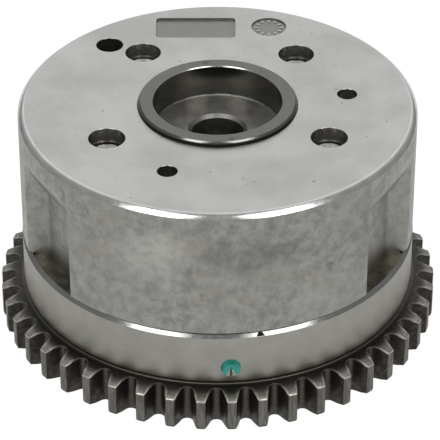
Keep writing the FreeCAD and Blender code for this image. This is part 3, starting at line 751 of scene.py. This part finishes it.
def make_tooth():
    """One tooth with its share of the rim, open where the flange joins it."""
    outline = tooth_outline()
    count = len(outline)
    inward = []
    for step, point in enumerate(outline):
        # The ends stay on the radial plane that they share with the next tooth.
        if step in (0, count - 1):
            inward.append(-point.normalized())
        else:
            tangent = (outline[step + 1] - outline[step - 1]).normalized()
            inward.append(Vector((-tangent.y, tangent.x)))
    build = bmesh.new()

    def row(inset, height_of):
        spots = [point + side * inset for point, side in zip(outline, inward)]
        return [build.verts.new((spot.x, spot.y, height_of(spot.length))) for spot in spots]

    def rim(radius, height):
        return [build.verts.new((*place, height))
                for place in arc(radius, -HALF_PITCH, HALF_PITCH, count - 1)]

    rows = [
        rim(LEDGE_RADIUS, 0.0),
        row(0.35, lambda radius: rear_height(radius, 0.0)),
        row(0.1, lambda radius: rear_height(radius, 0.1)),
        row(0.0, lambda radius: rear_height(radius, 0.35)),
        row(0.0, lambda radius: front_height(radius) - 0.2),
        row(0.06, lambda radius: front_height(radius) - 0.06),
        row(0.2, front_height),
    ]
    inner = rim(LEDGE_RADIUS + 0.2, TOOTH_WIDTH)
    edge = rows[-1]
    for share in (0.2, 0.4, 0.6, 0.8):
        spots = [point.co.lerp(end.co, share) for point, end in zip(edge, inner)]
        rows.append([build.verts.new((spot.x, spot.y, front_height(spot.xy.length)))
                     for spot in spots])
    rows += [inner, rim(LEDGE_RADIUS, TOOTH_WIDTH)]
    for low, high in zip(rows, rows[1:]):
        for step in range(count - 1):
            build.faces.new((low[step], low[step + 1], high[step + 1], high[step]))
    return build, count - 1


def blind_hole(radius, depth, place, count):
    """Cutter for a hole down from the flange's face."""
    return drill(((0, FLANGE_FACE - depth), (radius, FLANGE_FACE - depth),
                  (radius, FLANGE_FACE + 1), (0, FLANGE_FACE + 1)), place, COVERED, count)


def make_sprocket():
    """Chain wheel, flange band and journal bore as one turned and cut piece."""
    finishes = [FINISH[name] for name in (
        "tooth_steel", "band_steel", "machined", "marking_paint", "groove_edge",
        "front_wear_and_sheen", "edge_wear_and_sheen")]
    tooth, columns = make_tooth()
    teeth = new_piece("teeth", tooth, finishes)
    apply_tree(teeth, ring_tree(), {
        "Count": TEETH, "First angle": math.radians(CLOCKING + HALF_PITCH),
        "Centre": (0, 0, 0), "Finish": finishes[0]})
    undercut = BAND_RADIUS - 0.6
    foot = LEDGE_TOP + UNDERCUT
    lip = FLANGE_FACE + BAND_LIP
    corners = (
        (LEDGE_RADIUS, TOOTH_WIDTH), (LEDGE_RADIUS, LEDGE_TOP - 0.12),
        (LEDGE_RADIUS - 0.12, LEDGE_TOP), (undercut, LEDGE_TOP),
        (undercut, foot), (BAND_RADIUS - 0.1, foot),
        (BAND_RADIUS, foot + 0.1), (BAND_RADIUS, lip - BAND_CHAMFER),
        (BAND_RADIUS - BAND_CHAMFER, lip), (BAND_RADIUS - 0.88, lip),
        (BAND_RADIUS - 0.95, lip - 0.07), (BAND_RADIUS - 0.95, FLANGE_FACE),
        (JOURNAL_RADIUS, FLANGE_FACE), (JOURNAL_RADIUS, 0.6), (JOURNAL_RADIUS + 0.6, 0.0),
        (RELIEF_INNER - 0.1, 0.0), (RELIEF_INNER, 0.1), (RELIEF_INNER, RELIEF_DEPTH),
        (RELIEF_OUTER, RELIEF_DEPTH), (RELIEF_OUTER, 0.1), (RELIEF_OUTER + 0.1, 0.0),
        (LEDGE_RADIUS, 0.0))
    finish_of = (TOOTH,) * 5 + (BAND,) * 2 + (GROOVE,) * 3 + (COVERED,) * 11
    angles = even_angles(TEETH * columns, CLOCKING)
    flange = turned(corners, angles, finish_of, closed=False)
    bmesh.ops.scale(flange, vec=(MM, MM, MM), verts=flange.verts)
    flange.from_mesh(teeth.data)
    bmesh.ops.remove_doubles(flange, verts=flange.verts, dist=2e-6)
    bmesh.ops.recalc_face_normals(flange, faces=flange.faces)
    bmesh.ops.scale(flange, vec=(1 / MM, 1 / MM, 1 / MM), verts=flange.verts)
    # Faces on the teeth's front take the finishes with chain wear and painted reflection.
    for face in flange.faces:
        middle = face.calc_center_median()
        if middle.xy.length > LEDGE_RADIUS + 0.1 and middle.z > 6.5:
            below = front_height(middle.xy.length) - middle.z
            if below < 0.015:
                face.material_index = FRONT_WEAR_AND_SHEEN
            elif below < 0.16:
                face.material_index = EDGE_WEAR_AND_SHEEN
    bpy.data.objects.remove(teeth)
    piece = new_piece("toothed_flange", flange, finishes)
    cutters = [blind_hole(SHANK_RADIUS + FIT, THREAD_DEPTH, polar(BOLT_CIRCLE, angle), 32)
               for angle in LOBES]
    cutters.append(blind_hole(DOWEL_RADIUS + FIT, DOWEL_DEPTH + FIT,
                              polar(DOWEL_CIRCLE, DOWEL_ANGLE), 32))
    cutters.append(blind_hole(LOCK_SEAT_RADIUS + FIT, LOCK_SEAT_DEPTH + FIT,
                              polar(SMALL_CIRCLE, VENT_ANGLE), 48))
    # The drill point on the band
    point = turned(((0, -1.1), (0.12, -1.06), (MARK_RADIUS, 0.0), (MARK_RADIUS * 1.91, 1.0),
                    (0, 1.0)), even_angles(64))
    cutters.append(lay(point, (*polar(BAND_RADIUS, MARK_ANGLE), MARK_HEIGHT), MARK_ANGLE,
                       finish=PAINT))
    # The three-sided punch mark in the band's chamfer, its point towards the housing
    notch = turned(((0, -0.75), (1.05, 0.0), (1.75, 0.5), (0, 0.5)), even_angles(3, 180.0))
    cutters.append(lay(notch, (*polar(BAND_RADIUS - BAND_CHAMFER / 2, NOTCH_ANGLE),
                               lip - BAND_CHAMFER / 2), NOTCH_ANGLE, 45, GROOVE))
    cut(piece, cutters)
    soften(piece, 22)
    return piece


# Housing

def soft_least(first, second, ease):
    """The lesser of two values, blended where they are closer than ease."""
    gap = max(ease - abs(first - second), 0.0) / ease
    return min(first, second) - gap * gap * ease / 4


def side_radius(angle, height):
    """The housing's outer radius, with the four cast pockets behind the lobes."""
    for lobe in LOBES:
        away = math.radians((angle - lobe + 180) % 360 - 180)
        if abs(away) > math.radians(POCKET_REACH):
            continue
        rise = max((height - POCKET_BEND) / (POCKET_TOP - POCKET_BEND), 0.0)
        floor = (POCKET_FLOOR + rise * (HOUSING_RADIUS - POCKET_FLOOR)) / math.cos(away)
        lean = max(POCKET_SLOPE * math.cos(away) - math.sin(abs(away)), 0.05)
        wall = (POCKET_SLOPE * POCKET_FLOOR - POCKET_HALF_WIDTH) / lean
        inner = -soft_least(-floor, -wall, 1.6)
        return soft_least(HOUSING_RADIUS, inner, 0.3 + 0.9 * min(rise, 1.0))
    return HOUSING_RADIUS


def side_angles():
    """Columns round the housing, close together where the pockets' walls are."""
    angles = []
    for lobe, following in zip(LOBES, NEXT_LOBES):
        offset = -FINE_REACH
        while offset < FINE_REACH - 1e-6:
            angles.append(lobe + offset)
            offset += 0.25 if 8.0 <= abs(offset + 0.01) < 15.5 else 1.0
        start = lobe + FINE_REACH
        reach = following - FINE_REACH - start
        steps = max(1, round(reach))
        angles += [start + reach * step / steps for step in range(steps)]
    return angles


def slot_floor(reach, angle):
    """The two inner corners of a seal slot."""
    turn = math.radians(angle)
    return [(reach * math.cos(turn) - across * math.sin(turn),
             reach * math.sin(turn) + across * math.cos(turn))
            for across in (-SLOT_HALF, SLOT_HALF)]


def chamber_outline():
    """Inner outline of the pot: four chambers between the lobes, a seal slot in each lobe."""
    outline = []
    slot = math.degrees(math.asin(SLOT_HALF / LOBE_TIP_RADIUS))
    for lobe, following in zip(LOBES, NEXT_LOBES):
        outline += arc(LOBE_TIP_RADIUS, lobe - LOBE_HALF_ANGLE, lobe - slot, 4)
        outline += slot_floor(LOBE_SLOT_FLOOR, lobe)
        outline += arc(LOBE_TIP_RADIUS, lobe + slot, lobe + LOBE_HALF_ANGLE, 4)
        start = lobe + LOBE_HALF_ANGLE
        end = following - LOBE_HALF_ANGLE
        outline += arc(CHAMBER_RADIUS, start, end, round((end - start) / 1.5))
    return outline


def plate_outline():
    """The marking plate's recess: an oblong with small round corners."""
    outline = []
    for index, (side, end) in enumerate(((1, 1), (-1, 1), (-1, -1), (1, -1))):
        x = PLATE_CENTRE[0] + side * (PLATE_SIZE[0] / 2 - PLATE_CORNER)
        y = PLATE_CENTRE[1] + end * (PLATE_SIZE[1] / 2 - PLATE_CORNER)
        outline += [(x + dx, y + dy)
                    for dx, dy in arc(PLATE_CORNER, 90 * index, 90 * index + 90, 4)]
    return outline


def face_hole(radius):
    """Upper corners of a cutter that leaves a finely broken edge in the front face."""
    return ((radius, FRONT_FACE - 0.08), (radius + 0.08, FRONT_FACE),
            (radius + 0.08, FRONT_FACE + 3), (0, FRONT_FACE + 3))


def make_housing():
    """Cast pot with a ground front face, four lobes inside and four pockets outside."""
    finishes = [FINISH[name] for name in (
        "cast_side", "ground_front", "drilled", "machined", "etched", "turned_edge")]
    heights = [FLANGE_FACE + FOOT_TOP] + [22.0 + 1.9 * step for step in range(8)]
    heights += [35.7 + 0.3 * step for step in range(30)] + [45.0, 46.5, 47.8]
    angles = side_angles()
    build = bmesh.new()
    rings = []
    for lift, inset in FOOT_STEPS:
        limit = HOUSING_RADIUS - inset
        rings.append([build.verts.new((*polar(min(side_radius(angle, FLANGE_FACE), limit), angle),
                                       FLANGE_FACE + lift)) for angle in angles])
    for height in heights:
        rings.append([build.verts.new((*polar(side_radius(angle, height), angle), height))
                      for angle in angles])
    rings += [ring_of_points(build, HOUSING_RADIUS - inset, FRONT_FACE - drop, angles)
              for inset, drop in FACE_CHAMFER]
    finish_of = [SIDE] * (len(heights) + len(FOOT_STEPS)) + [EDGE] * (len(FACE_CHAMFER) - 2)
    add_rings(build, rings, finish_of + [FRONT], closed=False)
    build.faces.new(rings[-1]).material_index = FRONT
    build.faces.new(rings[0][::-1]).material_index = INSIDE
    bmesh.ops.recalc_face_normals(build, faces=build.faces)
    piece = new_piece("lobed_housing", build, finishes)
    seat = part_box("housing_screw_1")[0][2] / MM + SHANK
    below = FLANGE_FACE - 5
    above = FRONT_FACE + 3
    cutters = [prism(chamber_outline(), below, CHAMBER_TOP, INSIDE)]
    for angle in LOBES:
        cutters.append(drill(((0, below), (SCREW_HOLE, below), (SCREW_HOLE, seat),
                              (COUNTERBORE, seat), *face_hole(COUNTERBORE)),
                             polar(BOLT_CIRCLE, angle), HOLE, 96))
    shoulder = FLANGE_FACE + DOWEL_DEPTH + 0.4
    cutters.append(drill(((0, below), (DOWEL_RADIUS + FIT, below), (DOWEL_RADIUS + FIT, shoulder),
                          (DOWEL_HOLE, shoulder), *face_hole(DOWEL_HOLE)),
                         polar(DOWEL_CIRCLE, DOWEL_ANGLE), HOLE, 96))
    cutters.append(drill(((0, FRONT_FACE - 3.8), (SMALL_HOLE, FRONT_FACE - 3),
                          *face_hole(SMALL_HOLE)), polar(SMALL_CIRCLE, TOOL_HOLE_ANGLE), HOLE))
    cutters.append(prism(plate_outline(), FRONT_FACE - PLATE_DEPTH, above, RECESS))
    dial_floor = FRONT_FACE - DIAL_DEPTH
    cutters.append(drill(((0, dial_floor), (DIAL_RADIUS, dial_floor), (DIAL_RADIUS, above),
                          (0, above)), DIAL_CENTRE, RECESS, 96))
    cut(piece, cutters)
    opening = SLEEVE_RADIUS + 0.05
    cut(piece, [
        drill(((0, 40), (opening, 40), *face_hole(opening)), (0, 0), INSIDE, 256),
        drill(((0, 42), (SMALL_HOLE, 42), *face_hole(SMALL_HOLE)),
              polar(SMALL_CIRCLE, VENT_ANGLE), HOLE)])
    soften(piece)
    return piece


def make_dial_ticks():
    """Plain raised ticks in the round recess."""
    tick = prism(((2.35, -0.14), (3.1, -0.14), (3.1, 0.14), (2.35, 0.14)), 0.0, 0.2)
    piece = new_piece("dial_ticks", tick, [FINISH["turned_edge"]])
    centre = (DIAL_CENTRE[0] * MM, DIAL_CENTRE[1] * MM, (FRONT_FACE - DIAL_DEPTH - 0.01) * MM)
    apply_tree(piece, ring_tree(), {"Count": TICKS, "First angle": 0.0, "Centre": centre,
                                    "Finish": FINISH["turned_edge"]})
    soften(piece)
    return piece


# Rotor, sleeve and screws

def rotor_outline():
    """Hub with four vanes, a seal slot in the tip of each."""
    outline = []
    slot = math.degrees(math.asin(SLOT_HALF / VANE_TIP_RADIUS))
    for index, (vane, half) in enumerate(VANES):
        following, next_half = VANES[(index + 1) % 4]
        following += 360 if index == 3 else 0
        steps = max(2, round((half - slot) / 1.5))
        outline.append(polar(HUB_RADIUS, vane - half))
        outline += arc(VANE_TIP_RADIUS, vane - half, vane - slot, steps)
        outline += slot_floor(VANE_SLOT_FLOOR, vane)
        outline += arc(VANE_TIP_RADIUS, vane + slot, vane + half, steps)
        start = vane + half
        end = following - next_half
        outline += arc(HUB_RADIUS, start, end, round((end - start) / 1.5))[:-1]
    return outline


def make_rotor():
    """Vaned rotor with the camshaft's nose bore behind and the bolt seat in front."""
    outside = prism(rotor_outline(), ROTOR_REAR, ROTOR_FRONT)
    piece = new_piece("vaned_rotor", outside, [FINISH["oiled_rotor"]])
    below = 15
    above = 48
    floor_edge = SLEEVE_BORE - FIT
    collar = SLEEVE_RADIUS + FIT
    middle = ((0, below), (NOSE_RADIUS, below), (NOSE_RADIUS, NOSE_FLOOR), (BOLT_HOLE, NOSE_FLOOR),
              (BOLT_HOLE, BOLT_SEAT - 0.7), (BOLT_HOLE + 0.7, BOLT_SEAT),
              (floor_edge - 0.5, BOLT_SEAT), (floor_edge - 0.2, BOLT_SEAT + 0.1),
              (floor_edge - 0.06, BOLT_SEAT + 0.25), (floor_edge, BOLT_SEAT + 0.45),
              (floor_edge + 0.01, SLEEVE_SEAT), (collar, SLEEVE_SEAT), (collar, above),
              (0, above))
    cut(piece, [drill(middle, (0, 0), 0, 256),
                drill(((0, below), (LOCK_BORE, below), (LOCK_BORE, above), (0, above)),
                      polar(SMALL_CIRCLE, LOCK_ANGLE), 0)])
    dowel_end = NOSE_FLOOR + CAM_DOWEL_DEPTH
    holes = [drill(((0, 22), (CAM_DOWEL_RADIUS, 22), (CAM_DOWEL_RADIUS, dowel_end),
                    (0, dowel_end)), polar(*CAM_DOWEL_PLACE), 0, 48)]
    for index, (vane, half) in enumerate(VANES):
        swing = half + 5
        stagger = 2 if index % 2 == 0 else -2
        for angle, start, height in ((vane - swing, 13.0, REAR_OIL_LEVEL),
                                     (vane + swing, 4.5, FRONT_OIL_LEVEL + stagger)):
            hole = turned(((0, start), (OIL_HOLE, start), (OIL_HOLE, 20.5), (0, 20.5)),
                          even_angles(32))
            holes.append(lay(hole, (0, 0, height), angle))
    cut(piece, holes)
    soften(piece)
    return piece


def make_sleeve():
    """Pressed-in ring that stands proud of the front face."""
    corners = ((SLEEVE_BORE, SLEEVE_SEAT), (SLEEVE_RADIUS, SLEEVE_SEAT),
               (SLEEVE_RADIUS, SLEEVE_TOP - 0.7), (SLEEVE_RADIUS - 0.12, SLEEVE_TOP - 0.42),
               (SLEEVE_RADIUS - 0.3, SLEEVE_TOP - 0.2), (SLEEVE_RADIUS - 0.52, SLEEVE_TOP),
               (SLEEVE_RADIUS - 0.6, SLEEVE_TOP),
               (SLEEVE_BORE + 0.18, SLEEVE_TOP), (SLEEVE_BORE, SLEEVE_TOP - 0.18))
    build = turned(corners, even_angles(320))
    piece = new_piece("nose_sleeve", build, [FINISH["dark_sleeve"]])
    soften(piece)
    return piece


def make_screws():
    """Four socket-head cap screws in their counterbores."""
    corners = ((0, -SHANK), (SHANK_RADIUS - 0.35, -SHANK), (SHANK_RADIUS, 0.35 - SHANK),
               (SHANK_RADIUS, 0), (HEAD_RADIUS, 0), (HEAD_RADIUS, HEAD_HEIGHT - 0.3),
               (HEAD_RADIUS - 0.08, HEAD_HEIGHT - 0.1), (HEAD_RADIUS - 0.3, HEAD_HEIGHT),
               (HEAD_RADIUS - 0.5, HEAD_HEIGHT), (HEAD_RADIUS - 0.6, HEAD_HEIGHT - 0.05),
               (HEAD_RADIUS / 2, HEAD_HEIGHT - 0.7), (0, HEAD_HEIGHT - 0.7))
    screw = new_piece("one_screw", turned(corners, even_angles(64)), [FINISH["oxide_screw"]])
    corner = HEX_HALF / math.cos(math.radians(30))
    hexagon = [polar(corner, 60 * step) for step in range(6)]
    cut(screw, [prism(hexagon, HEX_FLOOR, HEAD_HEIGHT + 2)])
    seats = bmesh.new()
    for number in (1, 2, 3, 4):
        low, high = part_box("housing_screw_%d" % number)
        seats.verts.new(((low[0] + high[0]) / 2 / MM, (low[1] + high[1]) / 2 / MM,
                         high[2] / MM - HEAD_HEIGHT))
    piece = new_piece("cap_screws", seats, [FINISH["oxide_screw"]])
    apply_tree(piece, seats_tree(), {"Fastener": screw, "Seed": 4,
                                     "Finish": FINISH["oxide_screw"]})
    bpy.data.objects.remove(screw)
    soften(piece)
    return piece


# Studio

def white_stage_material():
    """White floor: plain to the camera and to reflections, with a soft shadow kept."""
    material = bpy.data.materials.new("floor_white")
    material.use_nodes = True
    tree = material.node_tree
    tree.nodes.clear()
    paint = add_node(tree, "ShaderNodeBsdfDiffuse", inputs={"Color": (0.8, 0.8, 0.8, 1)})
    glow = add_node(tree, "ShaderNodeEmission", inputs={"Strength": 1.06})
    mix = add_node(tree, "ShaderNodeMixShader", inputs={
        0: white_rays(tree, 0.96, 0.75), 1: paint.outputs[0], 2: glow.outputs[0]})
    add_node(tree, "ShaderNodeOutputMaterial", inputs={"Surface": mix.outputs[0]})
    return material


def white_rays(tree, seen=1.0, mirrored=1.0):
    """Share of plain white for rays from the camera, and for gloss and glass."""
    path = add_node(tree, "ShaderNodeLightPath")
    total = 0.0
    for name, share in (("Is Camera Ray", seen), ("Is Glossy Ray", mirrored),
                        ("Is Transmission Ray", mirrored)):
        total = calculate(tree, "MAXIMUM", total,
                          calculate(tree, "MULTIPLY", path.outputs[name], share))
    return total


def make_stage():
    """White floor, and a room that lights the part and shows in its reflections."""
    build = bmesh.new()
    bmesh.ops.create_grid(build, x_segments=1, y_segments=1, size=3000)
    bmesh.ops.translate(build, vec=(0, 0, -0.05), verts=build.verts)
    floor = new_piece("studio_floor", build, [white_stage_material()])
    world = bpy.data.worlds.new("studio_white")
    world.use_nodes = True
    tree = world.node_tree
    level = add_node(tree, "ShaderNodeMapRange", inputs={
        "Value": white_rays(tree), "To Min": 0.5, "To Max": back_wall(tree)})
    background = tree.nodes["Background"]
    feed(tree, background.inputs["Color"], (1, 1, 1, 1))
    feed(tree, background.inputs["Strength"], level.outputs[0])
    bpy.context.scene.world = world


def back_wall(tree):
    """The room in reflections: a white screen high behind the part, dimmer walls all round."""
    look = add_node(tree, "ShaderNodeTexCoord").outputs["Generated"]
    split = add_node(tree, "ShaderNodeSeparateXYZ", inputs={0: look})
    aim = add_node(tree, "ShaderNodeVectorMath", {"operation": "DOT_PRODUCT"},
                   {0: look, 1: (0.0, 0.64, 0.77)})
    walls = ramp(tree, split.outputs["Z"], 0.1, 0.3, 0.28, 0.36)
    screen = ramp(tree, aim.outputs["Value"], 0.55, 0.93, walls, 1.0)
    path = add_node(tree, "ShaderNodeLightPath")
    return calculate(tree, "MAXIMUM", screen, path.outputs["Is Camera Ray"])


def softbox(name, azimuth, elevation, distance, size, watts):
    """A soft lamp that looks at the part's front face."""
    lamp = bpy.data.lights.new(name, "AREA")
    lamp.shape = "RECTANGLE"
    lamp.size, lamp.size_y = size
    lamp.energy = watts
    holder = bpy.data.objects.new(name, lamp)
    bpy.context.scene.collection.objects.link(holder)
    target = Vector((0, 0, 0.045))
    level = distance * math.cos(math.radians(elevation))
    away = Vector((*polar(level, azimuth), distance * math.sin(math.radians(elevation))))
    holder.location = target + away
    holder.rotation_euler = (-away).to_track_quat("-Z", "Y").to_euler()


def make_camera():
    """The photo's view: from the front and above, with a long lens."""
    lens = bpy.data.cameras.new("photo_camera")
    lens.lens = 222.44
    lens.sensor_width = 36
    lens.clip_start = 0.01
    camera = bpy.data.objects.new("photo_camera", lens)
    bpy.context.scene.collection.objects.link(camera)
    camera.location = (0.00024, -0.47915, 0.34791)
    sight = Vector((0.0005, 0, 0.02015)) - camera.location
    camera.rotation_euler = sight.to_track_quat("-Z", "Y").to_euler()
    bpy.context.scene.camera = camera


# Assembly

FINISH = {made.name: made for made in (
    ground_front(), turned_edge("turned_edge", 0.5, 0.68),
    turned_edge("groove_edge", 0.26, 0.36), cast_side(), drilled(), etched(), machined(),
    band_steel(), tooth_steel(),
    # Tooth fronts and edges: chain wear with a painted reflection, brighter towards the tips.
    tooth_wear_and_sheen("front_wear_and_sheen", (0.036, 0.033, 0.028), (0.27, 0.26, 0.235)),
    tooth_wear_and_sheen("edge_wear_and_sheen", (0.1, 0.095, 0.083), (0.46, 0.44, 0.4)),
    marking_paint(), sleeve_steel(), rotor_steel(), screw_steel(), seal_plastic(),
    plain_steel("bright_spring", 0.3, 0.5, 0.25), plain_steel("bright_pin", 0.35, 0.5, 0.22))}

make_camera()
make_stage()
softbox("left_softbox", -129, 50, 0.6, (0.235, 0.27), 1.1)
softbox("right_softbox", -49, 50, 0.6, (0.27, 0.27), 1.1)

DRESSED = (
    (make_sprocket, "drive", "sprocket_steel", ("sprocket",)),
    (make_housing, "drive", "cast_steel", ("stator_housing",)),
    (make_dial_ticks, "drive", "cast_steel", ()),
    (make_rotor, "driven", "rotor_steel", ("rotor",)),
    (make_sleeve, "driven", "sleeve_steel", ("front_sleeve",)),
    (make_screws, "drive", "screw_steel", tuple("housing_screw_%d" % n for n in (1, 2, 3, 4))),
)
for make, body, slot, replaced in DRESSED:
    part = make()
    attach(part, body)
    if replaced:
        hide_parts(*replaced)

for node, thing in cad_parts.items():
    if node.startswith(("vane_seal_spring", "lobe_seal_spring", "lock_pin_spring")):
        finish = "bright_spring"
    elif node.startswith(("vane_seal", "lobe_seal")):
        finish = "black_seal"
    elif node.startswith(("lock", "housing_dowel")):
        finish = "bright_pin"
    else:
        continue
    for material_slot in thing.material_slots:
        material_slot.material = FINISH[finish]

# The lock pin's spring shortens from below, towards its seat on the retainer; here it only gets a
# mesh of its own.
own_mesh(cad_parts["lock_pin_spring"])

bpy.context.scene.view_settings.view_transform = "Standard"
